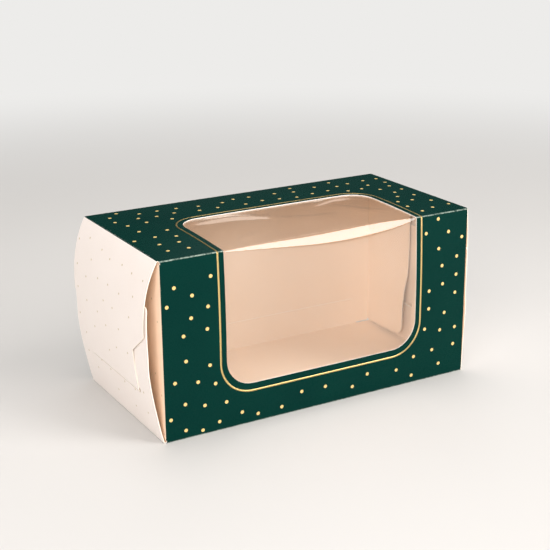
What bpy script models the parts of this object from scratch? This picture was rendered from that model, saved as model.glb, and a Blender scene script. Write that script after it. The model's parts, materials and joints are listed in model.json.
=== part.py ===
# Yule log box: a folded board sleeve with a film window over the top front edge,
# closed at each end by a cover flap whose tongue tucks through a slit in the lower flap.
# Metres, +Z up. The origin is under the middle of the base, and the window faces -Y.
import math

import bmesh
import bpy
from mathutils import Matrix, Vector

# The sleeve
BOX_LENGTH = 0.225
BOX_DEPTH = 0.115
BOX_HEIGHT = 0.115
CARD = 0.0005  # thickness of the folding board
GAP = 0.0003  # between pieces that touch
PANEL_BOW = 0.002  # how far the front, back and top swell out at their middles
GLUE_FLAP_HEIGHT = 0.020
GLUE_FLAP_INSET = 0.012  # from the end of the box to the end of the glue flap
GLUE_FLAP_SLANT = 0.004  # how much shorter its upper edge is at each end

# The window and its film
WINDOW_LENGTH = 0.140
WINDOW_SILL = 0.0273  # board left under the window on the front
WINDOW_REACH = 0.066  # how far the window runs back over the top
WINDOW_CORNER = 0.018  # radius of its lower corners
WINDOW_TOP_CORNER = 0.015  # radius of its corners on the top
FILM = 0.0002  # thickness of the clear film
FILM_LAP = 0.010  # film glued down past the window's edge
FILM_BEND = 0.010  # radius where the film turns from the front to the top

# The ends. Heights are measured from the table.
LEFT_BULGE = 0.0098  # how far the left cover flap swells past the end of the sleeve
RIGHT_BULGE = 0.0025  # the same on the right, where the tab is pushed further in
BELLY_HEIGHT = 0.069  # where it swells most
UPPER_FULLNESS = 2.6  # power of the curve above the belly
LOWER_FULLNESS = 2.0  # power of the curve below it
COVER_INSET = 0.0015  # from the side of the box to the cover flap, at its crease
COVER_TAPER = 0.0015  # how much further in its sides are at the shoulders
SHOULDER_HEIGHT = 0.069  # where the cover flap starts to narrow
TONGUE_HEIGHT = 0.056  # where it has narrowed to the tongue
TONGUE_WIDTH = 0.074
FOLD_HEIGHT = 0.029  # crease between the tongue and its tuck tab
TAB_LENGTH = 0.0045
TAB_TAPER = 0.004  # how much narrower the tab is at each side of its free edge
LOWER_FLAP_HEIGHT = 0.088
LOWER_FLAP_INSET = 0.001  # from the side of the box to the lower flap
LOWER_FLAP_CORNER = 0.003  # radius of its upper corners
NEST_GAP = 0.0013  # how much less the lower flap swells than the cover flap
SLIT_SIDE_ROOM = 0.003  # slit past each side of the tongue
SLIT_ROOM_ABOVE = 0.0019  # slit over the tab
SLIT_ROOM_BELOW = 0.0009  # slit under the tab

# The dust flaps, which the tab pushes in a little where it reaches them
DUST_FREE_GAP = 0.011  # between their free edges, front to back, when they lie square
DUST_EASE = 0.05  # radians that they stand in by themselves
DUST_MARGIN = 0.0015  # from the dust flap's crease ends to the base and the top
DUST_TAPER = 0.004  # how much shorter its free edge is at each end
DUST_CORNER = 0.008  # radius of its free corners
TAB_CLEARANCE = 0.0004  # from the tab's free edge to the dust flaps

# How finely the curves are cut
CUT_OVERRUN = 0.004  # how far a cutter runs past what it cuts
BOW_STEPS = 12
BULGE_STEPS = 18
ARC_STEPS = 6

HALF_LENGTH = BOX_LENGTH / 2
HALF_DEPTH = BOX_DEPTH / 2
SLEEVE_END = HALF_LENGTH - CARD - GAP  # the panels stop here, inside the end flaps
DUST_HINGE_X = SLEEVE_END - CARD
DUST_HINGE_Y = HALF_DEPTH - CARD - GAP - CARD / 2


def clear_scene():
    for old in list(bpy.data.objects):
        bpy.data.objects.remove(old, do_unlink=True)


def new_collection(name):
    collection = bpy.data.collections.new(name)
    bpy.context.scene.collection.children.link(collection)
    return collection


def principled(name, color, roughness, alpha=1.0):
    material = bpy.data.materials.new(name)
    material.use_nodes = True
    shader = material.node_tree.nodes["Principled BSDF"]
    shader.inputs["Base Color"].default_value = (*color, 1.0)
    shader.inputs["Roughness"].default_value = roughness
    shader.inputs["Metallic"].default_value = 0.0
    shader.inputs["Alpha"].default_value = alpha
    return material


def rounded_corner(before, corner, after, radius):
    """Points of the arc that rounds one corner of an outline."""
    corner = Vector(corner)
    into = (Vector(before) - corner).normalized()
    out = (Vector(after) - corner).normalized()
    half = into.angle(out) / 2
    centre = corner + (into + out).normalized() * radius / math.sin(half)
    first = corner + into * radius / math.tan(half)
    turn = (first - centre).angle_signed(corner + out * radius / math.tan(half) - centre)
    points = []
    for step in range(ARC_STEPS + 1):
        rotation = Matrix.Rotation(-turn * step / ARC_STEPS, 2)
        points.append(tuple(centre + rotation @ (first - centre)))
    return points


def even_levels(low, high, steps):
    return [low + (high - low) * step / steps for step in range(1, steps)]


def add_object(name, bm, collection, pivot=(0, 0, 0), material=None):
    """Turns the mesh, drawn in world places, into an object whose origin is the pivot."""
    bmesh.ops.translate(bm, vec=-Vector(pivot), verts=bm.verts)
    mesh = bpy.data.meshes.new(name)
    bm.to_mesh(mesh)
    bm.free()
    obj = bpy.data.objects.new(name, mesh)
    obj.location = pivot
    if material:
        mesh.materials.append(material)
    collection.objects.link(obj)
    return obj


def bent_sheet(name, outline, across, along, bend, outward, thickness, material, pivot=(0, 0, 0)):
    """A flat outline cut along straight lines, bent by a function of its own two places,
    and thickened away from the side that faces outward."""
    bm = bmesh.new()
    bm.faces.new([bm.verts.new((u, v, 0)) for u, v in outline])
    cuts = [((u, 0, 0), (1, 0, 0)) for u in across]
    cuts += [((0, v, 0), (0, 1, 0)) for v in along]
    for place, normal in cuts:
        everything = bm.verts[:] + bm.edges[:] + bm.faces[:]
        bmesh.ops.bisect_plane(bm, geom=everything, plane_co=place, plane_no=normal)
    for vert in bm.verts:
        vert.co = bend(vert.co.x, vert.co.y)
    bm.normal_update()
    facing = sum((face.normal * face.calc_area() for face in bm.faces), Vector())
    if facing.dot(Vector(outward)) < 0:
        bmesh.ops.reverse_faces(bm, faces=bm.faces)
    obj = add_object(name, bm, parts, pivot, material)
    thicken = obj.modifiers.new("Thickness", "SOLIDIFY")
    thicken.thickness = thickness
    thicken.offset = -1
    thicken.use_even_offset = True
    return obj


def cut_with(obj, cutter):
    boolean = obj.modifiers.new("Cut " + cutter.name, "BOOLEAN")
    boolean.operation = "DIFFERENCE"
    boolean.solver = "EXACT"
    boolean.object = cutter


def add_cutter(name, bm):
    bmesh.ops.recalc_face_normals(bm, faces=bm.faces)
    cutter = add_object(name, bm, cutters)
    cutter.hide_render = True
    cutter.display_type = "WIRE"
    return cutter


def prism_cutter(name, outline, place, depth):
    """An outline drawn by place(u, v) and swept by the vector depth."""
    bm = bmesh.new()
    face = bm.faces.new([bm.verts.new(place(u, v)) for u, v in outline])
    swept = bmesh.ops.extrude_face_region(bm, geom=[face])["geom"]
    moved = [item for item in swept if isinstance(item, bmesh.types.BMVert)]
    bmesh.ops.translate(bm, vec=depth, verts=moved)
    return add_cutter(name, bm)


def box_cutter(name, centre, size):
    bm = bmesh.new()
    bmesh.ops.create_cube(bm, size=1.0)
    bmesh.ops.scale(bm, vec=size, verts=bm.verts)
    bmesh.ops.translate(bm, vec=centre, verts=bm.verts)
    return add_cutter(name, bm)


def bow(x, across_share):
    """How far a panel swells at x, with across_share running 0 to 1 between its creases."""
    along = 1 - (x / HALF_LENGTH) ** 4
    return PANEL_BOW * along * (1 - (2 * across_share - 1) ** 2)


def front_bow(x, z):
    return bow(x, z / BOX_HEIGHT)


def top_bow(x, y):
    return bow(x, (y + HALF_DEPTH) / BOX_DEPTH)


def bulge(z, most):
    """How far an end flap swells past the sleeve at height z."""
    if z > BELLY_HEIGHT:
        share = (z - BELLY_HEIGHT) / (BOX_HEIGHT - BELLY_HEIGHT)
        return most * (1 - share**UPPER_FULLNESS)
    share = (BELLY_HEIGHT - z) / BELLY_HEIGHT
    return most * (1 - share**LOWER_FULLNESS)


def rectangle(half_width, low, high):
    return [(-half_width, low), (half_width, low), (half_width, high), (-half_width, high)]


def window_outline(near, far, corner):
    """The window from its open side at near to its side at far, which has rounded corners."""
    half = WINDOW_LENGTH / 2
    left, right = (-half, far), (half, far)
    open_left, open_right = (-half, near), (half, near)
    outline = [open_left]
    outline += rounded_corner(open_left, left, right, corner)
    outline += rounded_corner(left, right, open_right, corner)
    outline += [open_right]
    return outline


def build_sleeve():
    board = principled("green_board", (0.012, 0.062, 0.052), 0.42)
    inside = principled("cream_board", (0.83, 0.72, 0.60), 0.6)
    clear = principled("clear_film", (0.95, 0.95, 0.95), 0.08, alpha=0.2)
    low, high = CARD + GAP, BOX_HEIGHT - CARD - GAP
    columns = even_levels(-SLEEVE_END, SLEEVE_END, 2 * BOW_STEPS)
    rows = even_levels(low, high, BOW_STEPS)
    upright = rectangle(SLEEVE_END, low, high)
    level = rectangle(SLEEVE_END, -HALF_DEPTH, HALF_DEPTH)

    bent_sheet(
        "base_panel", level, [], [], lambda x, y: Vector((x, y, 0)), (0, 0, -1), CARD, board
    )
    bent_sheet(
        "back_panel", upright, columns, rows,
        lambda x, z: Vector((x, HALF_DEPTH + front_bow(x, z), z)),
        (0, 1, 0), CARD, board,
    )
    front = bent_sheet(
        "front_panel", upright, columns, rows,
        lambda x, z: Vector((x, -HALF_DEPTH - front_bow(x, z), z)),
        (0, -1, 0), CARD, board,
    )
    top = bent_sheet(
        "top_panel", level, columns, even_levels(-HALF_DEPTH, HALF_DEPTH, BOW_STEPS),
        lambda x, y: Vector((x, y, BOX_HEIGHT + top_bow(x, y))),
        (0, 0, 1), CARD, board,
    )

    through = PANEL_BOW + CARD + CUT_OVERRUN
    cut_with(front, prism_cutter(
        "front_window_cutter", window_outline(BOX_HEIGHT, WINDOW_SILL, WINDOW_CORNER),
        lambda x, z: Vector((x, -HALF_DEPTH - through, z)), Vector((0, 2 * through, 0)),
    ))
    top_window = window_outline(
        -HALF_DEPTH - CUT_OVERRUN, -HALF_DEPTH + WINDOW_REACH, WINDOW_TOP_CORNER
    )
    cut_with(top, prism_cutter(
        "top_window_cutter", top_window,
        lambda x, y: Vector((x, y, BOX_HEIGHT - through)), Vector((0, 0, 2 * through)),
    ))

    glue_half = HALF_LENGTH - GLUE_FLAP_INSET
    glue_outline = [
        (-glue_half, low), (glue_half, low),
        (glue_half - GLUE_FLAP_SLANT, GLUE_FLAP_HEIGHT),
        (-glue_half + GLUE_FLAP_SLANT, GLUE_FLAP_HEIGHT),
    ]
    glue_face = HALF_DEPTH - CARD - GAP
    bent_sheet(
        "glue_flap", glue_outline, even_levels(-glue_half, glue_half, 2 * BOW_STEPS),
        even_levels(low, GLUE_FLAP_HEIGHT, ARC_STEPS),
        lambda x, z: Vector((x, glue_face + front_bow(x, z), z)),
        (0, 1, 0), CARD, inside,
    )
    build_film(clear)


def build_film(clear):
    """One sheet up the inside of the front, round a soft bend and back under the top."""
    face_y = -HALF_DEPTH + CARD + GAP
    face_z = BOX_HEIGHT - CARD - GAP
    foot = WINDOW_SILL - FILM_LAP
    bend_z = face_z - FILM_BEND
    bend_y = face_y + FILM_BEND
    rise = bend_z - foot
    turn = FILM_BEND * math.pi / 2
    run = -HALF_DEPTH + WINDOW_REACH + FILM_LAP - bend_y

    def place(x, travelled):
        """The film's outer face after travelling that far up from its foot."""
        if travelled <= rise:
            y, z, angle = face_y, foot + travelled, 0.0
        elif travelled <= rise + turn:
            angle = (travelled - rise) / FILM_BEND
            y = bend_y - FILM_BEND * math.cos(angle)
            z = bend_z + FILM_BEND * math.sin(angle)
        else:
            y, z, angle = bend_y + travelled - rise - turn, face_z, math.pi / 2
        y -= math.cos(angle) * front_bow(x, z)
        z += math.sin(angle) * top_bow(x, y)
        return Vector((x, y, z))

    half = WINDOW_LENGTH / 2 + FILM_LAP
    rows = even_levels(0, rise, BOW_STEPS) + [rise]
    rows += even_levels(rise, rise + turn, 2 * ARC_STEPS) + [rise + turn]
    rows += even_levels(rise + turn, rise + turn + run, BOW_STEPS)
    bent_sheet(
        "window_film", rectangle(half, 0, rise + turn + run),
        even_levels(-half, half, BOW_STEPS), rows, place, (0, -1, 1), FILM, clear,
    )


def cover_outline():
    """Across the box and up: the tongue at the foot, then shoulders, then the full width."""
    tongue = TONGUE_WIDTH / 2
    crease = HALF_DEPTH - COVER_INSET
    shoulder = crease - COVER_TAPER
    right = [
        (tongue, FOLD_HEIGHT + GAP), (tongue, TONGUE_HEIGHT),
        (shoulder, SHOULDER_HEIGHT), (crease, BOX_HEIGHT),
    ]
    return right + [(-y, z) for y, z in reversed(right)]


def lower_outline():
    side = HALF_DEPTH - LOWER_FLAP_INSET
    foot, corner = (side, 0), (side, LOWER_FLAP_HEIGHT)
    right = [foot] + rounded_corner(foot, corner, (-side, LOWER_FLAP_HEIGHT), LOWER_FLAP_CORNER)
    return right + [(-y, z) for y, z in reversed(right)]


def tab_outline():
    """Across the box and inwards from the crease."""
    root = TONGUE_WIDTH / 2
    tip = root - TAB_TAPER
    return [(-root, 0), (root, 0), (tip, TAB_LENGTH), (-tip, TAB_LENGTH)]


def dust_turn(most):
    """Angle at which the dust flaps stand inside an end that swells by most."""
    tab_tip = HALF_LENGTH + bulge(FOLD_HEIGHT, most) - TAB_LENGTH
    pushed = DUST_HINGE_X - tab_tip + CARD / 2 + TAB_CLEARANCE
    tip_side = TONGUE_WIDTH / 2 - TAB_TAPER
    return max(DUST_EASE, math.atan2(pushed, DUST_HINGE_Y - tip_side))


def dust_outline():
    """Along the flap from its crease, and up."""
    length = DUST_HINGE_Y - DUST_FREE_GAP / 2
    low, high = CARD + DUST_MARGIN, BOX_HEIGHT - CARD - DUST_MARGIN
    lower, upper = (length, low + DUST_TAPER), (length, high - DUST_TAPER)
    outline = [(0, low)]
    outline += rounded_corner((0, low), lower, upper, DUST_CORNER)
    outline += rounded_corner(lower, upper, (0, high), DUST_CORNER)
    return outline + [(0, high)]


def build_end(side_name, side, most):
    """The five flaps of one end, which swells by most. side is -1 on the left, 1 on the right."""
    board = principled(side_name + "_cream_board", (0.86, 0.79, 0.70), 0.55)
    crease = side * HALF_LENGTH
    fold_x = crease + side * bulge(FOLD_HEIGHT, most)

    cover = bent_sheet(
        side_name + "_cover_flap", cover_outline(), [],
        even_levels(FOLD_HEIGHT + GAP, BOX_HEIGHT, BULGE_STEPS) + [TONGUE_HEIGHT, SHOULDER_HEIGHT],
        lambda y, z: Vector((crease + side * bulge(z, most), y, z)),
        (side, 0, 0), CARD, board, pivot=(crease, 0, BOX_HEIGHT),
    )
    tab = bent_sheet(
        side_name + "_tuck_tab", tab_outline(), [], [],
        lambda y, inwards: Vector((fold_x - side * inwards, y, FOLD_HEIGHT)),
        (0, 0, 1), CARD, board, pivot=(fold_x, 0, FOLD_HEIGHT),
    )
    tab.parent = cover
    tab.location = tab.location - cover.location

    lower = bent_sheet(
        side_name + "_lower_flap", lower_outline(), [],
        even_levels(0, LOWER_FLAP_HEIGHT - LOWER_FLAP_CORNER, BULGE_STEPS),
        lambda y, z: Vector((crease + side * bulge(z, most - NEST_GAP), y, z)),
        (side, 0, 0), CARD, board, pivot=(crease, 0, 0),
    )
    slit_low = FOLD_HEIGHT - CARD - SLIT_ROOM_BELOW
    slit_high = FOLD_HEIGHT + SLIT_ROOM_ABOVE
    cut_with(lower, box_cutter(
        side_name + "_slit_cutter",
        (fold_x, 0, (slit_low + slit_high) / 2),
        (2 * CUT_OVERRUN, TONGUE_WIDTH + 2 * SLIT_SIDE_ROOM, slit_high - slit_low),
    ))

    turn = dust_turn(most)
    for wall_name, wall in (("front", -1), ("back", 1)):
        hinge = Vector((side * DUST_HINGE_X, wall * DUST_HINGE_Y, 0))
        along = Vector((-side * math.sin(turn), -wall * math.cos(turn), 0))
        outwards = Vector((side * math.cos(turn), -wall * math.sin(turn), 0))
        bent_sheet(
            f"{side_name}_{wall_name}_dust_flap", dust_outline(), [], [],
            lambda s, z, h=hinge, a=along, o=outwards: h + a * s + o * CARD / 2 + Vector((0, 0, z)),
            outwards, CARD, board, pivot=(hinge.x, hinge.y, BOX_HEIGHT / 2),
        )


clear_scene()
parts = new_collection("yule_log_box")
cutters = new_collection("cutters")
build_sleeve()
build_end("left", -1, LEFT_BULGE)
build_end("right", 1, RIGHT_BULGE)
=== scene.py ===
import json
from math import atan2, cos, exp, inf, pi, radians, sin, tan

import bmesh
import bpy
from mathutils import Matrix, Vector


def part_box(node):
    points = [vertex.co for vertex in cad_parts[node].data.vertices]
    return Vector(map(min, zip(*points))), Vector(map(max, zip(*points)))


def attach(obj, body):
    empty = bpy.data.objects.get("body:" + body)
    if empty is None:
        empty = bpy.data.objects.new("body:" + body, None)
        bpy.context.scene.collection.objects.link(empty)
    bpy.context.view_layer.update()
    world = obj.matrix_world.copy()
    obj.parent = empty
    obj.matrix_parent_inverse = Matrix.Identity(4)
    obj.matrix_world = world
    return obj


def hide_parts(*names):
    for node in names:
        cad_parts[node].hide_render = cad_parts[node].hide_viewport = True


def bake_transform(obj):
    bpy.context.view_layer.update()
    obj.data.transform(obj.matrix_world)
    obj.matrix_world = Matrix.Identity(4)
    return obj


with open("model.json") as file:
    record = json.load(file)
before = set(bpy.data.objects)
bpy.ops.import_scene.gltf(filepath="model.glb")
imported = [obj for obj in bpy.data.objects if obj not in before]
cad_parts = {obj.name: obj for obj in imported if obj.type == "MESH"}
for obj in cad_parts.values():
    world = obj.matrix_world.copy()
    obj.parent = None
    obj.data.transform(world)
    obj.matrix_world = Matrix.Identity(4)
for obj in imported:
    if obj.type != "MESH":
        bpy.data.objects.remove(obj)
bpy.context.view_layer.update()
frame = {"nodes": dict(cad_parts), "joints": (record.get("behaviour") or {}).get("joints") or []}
print("frame loaded:", len(frame["nodes"]), "solids")


# Small helpers

def hexToLinear(code):
    # sRGB hex to linear, by the sRGB curve
    shares = [int(code[i:i + 2], 16) / 255 for i in (1, 3, 5)]
    return [c / 12.92 if c <= 0.04045 else ((c + 0.055) / 1.055) ** 2.4 for c in shares] + [1.0]


def setInputs(tree, node, inputs):
    # socket name or number -> value, sRGB hex colour, output socket, or node, for its first output
    for key, value in inputs.items():
        if isinstance(value, bpy.types.Node):
            value = value.outputs[0]
        if isinstance(value, bpy.types.NodeSocket):
            tree.links.new(value, node.inputs[key])
        elif isinstance(value, str) and value.startswith("#"):
            node.inputs[key].default_value = hexToLinear(value)
        else:
            node.inputs[key].default_value = value


def addNode(tree, kind, inputs=None, **settings):
    node = tree.nodes.new(kind)
    for key, value in settings.items():
        setattr(node, key, value)
    setInputs(tree, node, inputs or {})
    return node


def addObject(name, data):
    obj = bpy.data.objects.new(name, data)
    bpy.context.scene.collection.objects.link(obj)
    return obj


def newMaterial(name):
    material = bpy.data.materials.new(name)
    material.use_nodes = True
    tree = material.node_tree
    return material, tree, tree.nodes["Principled BSDF"]


def clampShare(value):
    return min(1.0, max(0.0, value))


def smoothShare(value):
    value = clampShare(value)
    return value * value * (3 - 2 * value)


def evenStops(low, high, step):
    count = max(1, round((high - low) / step))
    return [low + (high - low) * i / count for i in range(count + 1)]


# Sizes, taken from the solids

rightHinge = next(j for j in frame["joints"] if j["name"] == "right_cover_hinge")["pos_m"]
baseLow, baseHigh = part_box("base_panel")
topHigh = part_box("top_panel")[1]
box = {
    "halfLength": rightHinge[0],
    "height": rightHinge[2],
    "halfDepth": baseHigh.y,
    "card": baseHigh.z - baseLow.z,
    "sleeveEnd": baseHigh.x,
    "panelBow": topHigh.z - rightHinge[2],  # how far front, back and top swell out
    "bowHold": 4,  # the higher, the nearer to the ends that swell keeps up
    "creaseRadius": 0.0009,
    "creaseSteps": 6,
}
halfLength, height, halfDepth = box["halfLength"], box["height"], box["halfDepth"]
card, creaseRadius = box["card"], box["creaseRadius"]


def panelBow(x, share):
    # share runs 0 to 1 across the panel, between its two long creases
    along = 1 - (x / halfLength) ** box["bowHold"]
    return box["panelBow"] * along * (1 - (2 * share - 1) ** 2)


# Materials

def paperBump(tree, shader, grain, depth):
    # grain and depth in metres. Real fibres are about 0.03 mm, too fine to see here,
    # so the grain is drawn at 0.4 to 1 mm.
    place = addNode(tree, "ShaderNodeTexCoord").outputs["Object"]
    fibre = addNode(tree, "ShaderNodeTexNoise", {"Vector": place, "Scale": 1 / grain, "Detail": 3.0})
    bump = addNode(tree, "ShaderNodeBump", {"Height": fibre, "Strength": 0.35, "Distance": depth})
    setInputs(tree, shader, {"Normal": bump})
    return place, fibre


def printedBoard():
    # Folding boxboard, offset printed in dark green under a satin water-based coat:
    # an even deep colour with a weak broad sheen. Along the creases it turns pale teal, partly
    # ink cracked by the fold and partly a painted highlight of the rounded crease.
    # The ink clouds over about 36 mm and chips off in bits of about 1 mm.
    material, tree, shader = newMaterial("boxboardSatinGreenPrint")
    place, fibre = paperBump(tree, shader, grain=0.0007, depth=0.00003)
    cloud = addNode(tree, "ShaderNodeTexNoise", {"Vector": place, "Scale": 28.0, "Detail": 2.0})
    ink = addNode(tree, "ShaderNodeMix", {0: cloud, 6: "#032C28", 7: "#06342D"}, data_type="RGBA")
    # share of pale crease colour: ink cracked by the fold, and a painted highlight along it
    wornAndLit = addNode(tree, "ShaderNodeAttribute", attribute_name="wear")
    chips = addNode(tree, "ShaderNodeTexNoise", {"Vector": place, "Scale": 900.0, "Detail": 4.0})
    shown = addNode(tree, "ShaderNodeMath",
            {0: wornAndLit.outputs["Fac"], 1: chips}, operation="MULTIPLY")
    crackedAndLit = addNode(tree, "ShaderNodeMapRange",
            {"Value": shown, "From Min": 0.30, "From Max": 0.62, "To Max": 0.6})
    color = addNode(tree, "ShaderNodeMix",
            {0: crackedAndLit, 6: ink.outputs[2], 7: "#B9C9BC"}, data_type="RGBA")
    rough = addNode(tree, "ShaderNodeMapRange",
            {"Value": fibre, "From Min": 0.3, "From Max": 0.7, "To Min": 0.24, "To Max": 0.32})
    # the coat is thin and soft, so it mirrors little
    setInputs(tree, shader, {"Base Color": color.outputs[2], "Roughness": rough,
            "Specular IOR Level": 0.03})
    return material


def creamBoard(name, light, dark, grain, roughness):
    # Boxboard's uncoated side, its coated face or its cut edge: matt, mottled over about 22 mm.
    material, tree, shader = newMaterial(name)
    place, fibre = paperBump(tree, shader, grain, depth=0.00004)
    cloud = addNode(tree, "ShaderNodeTexNoise", {"Vector": place, "Scale": 45.0, "Detail": 3.0})
    blend = addNode(tree, "ShaderNodeMath", {0: cloud, 1: fibre}, operation="MULTIPLY")
    color = addNode(tree, "ShaderNodeMix", {0: blend, 6: light, 7: dark}, data_type="RGBA")
    setInputs(tree, shader, {"Base Color": color.outputs[2], "Roughness": roughness,
            "Specular IOR Level": 0.35})
    return material


def goldFoil():
    # Hot-stamped gold foil: a smooth warm metal, brushed soft by the board under it.
    material, tree, shader = newMaterial("hotStampedGoldFoil")
    fibre = paperBump(tree, shader, grain=0.0004, depth=0.00001)[1]
    color = addNode(tree, "ShaderNodeMix", {0: fibre, 6: "#F0D796", 7: "#E0BE76"}, data_type="RGBA")
    rough = addNode(tree, "ShaderNodeMapRange",
            {"Value": fibre, "From Min": 0.3, "From Max": 0.7, "To Min": 0.28, "To Max": 0.42})
    setInputs(tree, shader, {"Base Color": color.outputs[2], "Roughness": rough, "Metallic": 1.0})
    return material


def goldInk(name, light, dark, roughness, specular):
    # Pale gold printing ink of the dots: opaque and satin, not a metal, sunk into the paper.
    material, tree, shader = newMaterial(name)
    fibre = paperBump(tree, shader, grain=0.0005, depth=0.00002)[1]
    color = addNode(tree, "ShaderNodeMix", {0: fibre, 6: light, 7: dark}, data_type="RGBA")
    setInputs(tree, shader, {"Base Color": color.outputs[2], "Roughness": roughness,
            "Specular IOR Level": specular})
    return material


def windowFilm():
    # Clear PET film 0.2 mm thick: seen through almost untouched, mirror bright at its bends.
    # The share that covers what lies behind is a plain mirror, 7% face on and 45% at a slant,
    # and the rest lets the light straight through. Its smears are about 17 mm wide.
    material, tree, shader = newMaterial("clearPetFilm")
    facing = addNode(tree, "ShaderNodeLayerWeight", {"Blend": 0.5}).outputs["Facing"]
    slant = addNode(tree, "ShaderNodeMath", {0: facing, 1: 5.0}, operation="POWER")
    cover = addNode(tree, "ShaderNodeMapRange", {"Value": slant, "To Min": 0.07, "To Max": 0.45})
    place = addNode(tree, "ShaderNodeTexCoord").outputs["Object"]
    smear = addNode(tree, "ShaderNodeTexNoise", {"Vector": place, "Scale": 60.0, "Detail": 2.0})
    rough = addNode(tree, "ShaderNodeMapRange", {"Value": smear, "To Min": 0.03, "To Max": 0.09})
    setInputs(tree, shader, {"Alpha": cover, "Roughness": rough,
            "Base Color": "#FBFAF6", "Metallic": 1.0})
    return material


greenPrint = printedBoard()
creamCoat = creamBoard("boxboardCreamCoatedFace", "#FBF2EC", "#F3E6DD", grain=0.0008, roughness=0.5)
# The dust flaps' coated face is the same board as the cover flaps', drawn warmer peach here as
# painted shade and warm bounced light in the box's ends
creamPaintedShade = creamBoard("boxboardCreamDustFlap", "#FDE7D2", "#F7D9BC", grain=0.0008, roughness=0.6)
creamInside = creamBoard("boxboardCreamInside", "#F8E3CE", "#F1D7BB", grain=0.0010, roughness=0.7)
cutEdge = creamBoard("boxboardCutEdge", "#FBF4E8", "#EFE5D4", grain=0.0004, roughness=0.8)
# The sleeve's cut edges, the window's among them: the same cut edge drawn whiter, as painted light
# against the warm shade they get under the film
brightenedCutEdge = creamBoard("boxboardCleanCutEdge", "#FFFEFB", "#FAF5EC", grain=0.0004, roughness=0.8)
gold = goldFoil()
dotInk = goldInk("paleGoldSatinInk", "#E8CE8A", "#DEBC72", roughness=0.42, specular=0.4)
paleInk = goldInk("paleGoldInk", "#DCCFB4", "#CDBB98", roughness=0.5, specular=0.5)
clearPet = windowFilm()
print("materials ready")


# Paths and bent sheets

tiny = 1e-9  # below any length or share that matters
cutReach = 2e-6  # a cut this near a point goes through it
sharedDigits = 7  # outlines share their points to this many decimals
printedSlot = 3  # a sheet's printed part has three materials, from this one on
shallowAngle = radians(160)  # flatter corners of a path stay as they are


def makePath(corners, radius, steps=box["creaseSteps"]):
    # A line through the corners, with the real corners rounded and the shallow ones left.
    corners = [Vector(c) for c in corners]
    points = [corners[0]]
    for before, corner, after in zip(corners, corners[1:], corners[2:]):
        into = (before - corner).normalized()
        out = (after - corner).normalized()
        inner = into.angle(out)
        if inner > shallowAngle:
            points.append(corner)
            continue
        reach = radius / tan(inner / 2)
        centre = corner + (into + out).normalized() * radius / sin(inner / 2)
        spoke = corner + into * reach - centre
        turn = pi - inner
        if into.x * out.y - into.y * out.x > 0:
            turn = -turn
        for i in range(steps + 1):
            angle = turn * i / steps
            points.append(centre + Vector((
                spoke.x * cos(angle) - spoke.y * sin(angle),
                spoke.x * sin(angle) + spoke.y * cos(angle),
            )))
    points.append(corners[-1])
    lengths = [0.0]
    for a, b in zip(points, points[1:]):
        lengths.append(lengths[-1] + (b - a).length)
    sides = []
    for i in range(len(points)):
        ahead = points[min(i + 1, len(points) - 1)] - points[i]
        behind = points[i] - points[max(i - 1, 0)]
        along = ahead.normalized() + behind.normalized()
        sides.append(Vector((-along.y, along.x)).normalized())
    return {"points": points, "lengths": lengths, "sides": sides}


def walk(path, travelled):
    # Point on the path and the direction of its left-hand side
    lengths = path["lengths"]
    i = 0
    while i < len(lengths) - 2 and lengths[i + 1] < travelled:
        i += 1
    share = (travelled - lengths[i]) / max(lengths[i + 1] - lengths[i], tiny)
    point = path["points"][i].lerp(path["points"][i + 1], share)
    side = path["sides"][i].lerp(path["sides"][i + 1], clampShare(share)).normalized()
    return point, side


def travelToHeight(path, z, after):
    # Length along the path where it first crosses that height, past `after`
    lengths = path["lengths"]
    for i in range(len(lengths) - 1):
        a, b = path["points"][i].y, path["points"][i + 1].y
        if lengths[i + 1] > after and min(a, b) - tiny <= z <= max(a, b) + tiny and a != b:
            return lengths[i] + (z - a) / (b - a) * (lengths[i + 1] - lengths[i])
    raise ValueError(f"the path never reaches {z}")


def arcBetween(before, corner, after, radius, steps):
    path = makePath([before, corner, after], radius, steps)
    return [tuple(p) for p in path["points"][1:-1]]


def bendSheet(name, outlines, across, along, place, attributes, printedTo=None):
    # Flat outlines that share their common points, cut along straight lines and then bent.
    # place(u, v) gives each point and the way it faces. attributes are stored for the materials
    # and the node trees, each from its own function of u and v. Faces before printedTo are printed.
    bm = bmesh.new()
    known = {}
    for outline in outlines:
        turning = sum(a[0] * b[1] - b[0] * a[1] for a, b in zip(outline, outline[1:] + outline[:1]))
        if turning < 0:  # all wound the same way, so that all face the same side
            outline = outline[::-1]
        corners = []
        for u, v in outline:
            key = (round(u, sharedDigits), round(v, sharedDigits))
            if key not in known:
                known[key] = bm.verts.new((u, v, 0))
            corners.append(known[key])
        bm.faces.new(corners)
    cuts = [((u, 0, 0), (1, 0, 0)) for u in across]
    cuts += [((0, v, 0), (0, 1, 0)) for v in along]
    for spot, direction in cuts:
        everything = bm.verts[:] + bm.edges[:] + bm.faces[:]
        bmesh.ops.bisect_plane(bm, geom=everything, plane_co=spot, plane_no=direction,
                dist=cutReach)
    flat = bm.verts.layers.float_vector.new("flat")
    layers = {key: bm.verts.layers.float.new(key) for key in attributes}
    facing = {}
    if printedTo is not None:
        for face in bm.faces:
            if face.calc_center_median().y < printedTo:
                face.material_index = printedSlot
    for vert in bm.verts:
        u, v = vert.co.x, vert.co.y
        vert[flat] = (u, v, 0)
        for key, rule in attributes.items():
            vert[layers[key]] = rule(u, v)
        vert.co, facing[vert] = place(u, v)
    bm.normal_update()
    agree = sum(f.normal.dot(facing[f.verts[0]]) * f.calc_area() for f in bm.faces)
    if agree < 0:
        bmesh.ops.reverse_faces(bm, faces=bm.faces)
    mesh = bpy.data.meshes.new(name)
    bm.to_mesh(mesh)
    bm.free()
    return mesh


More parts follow.
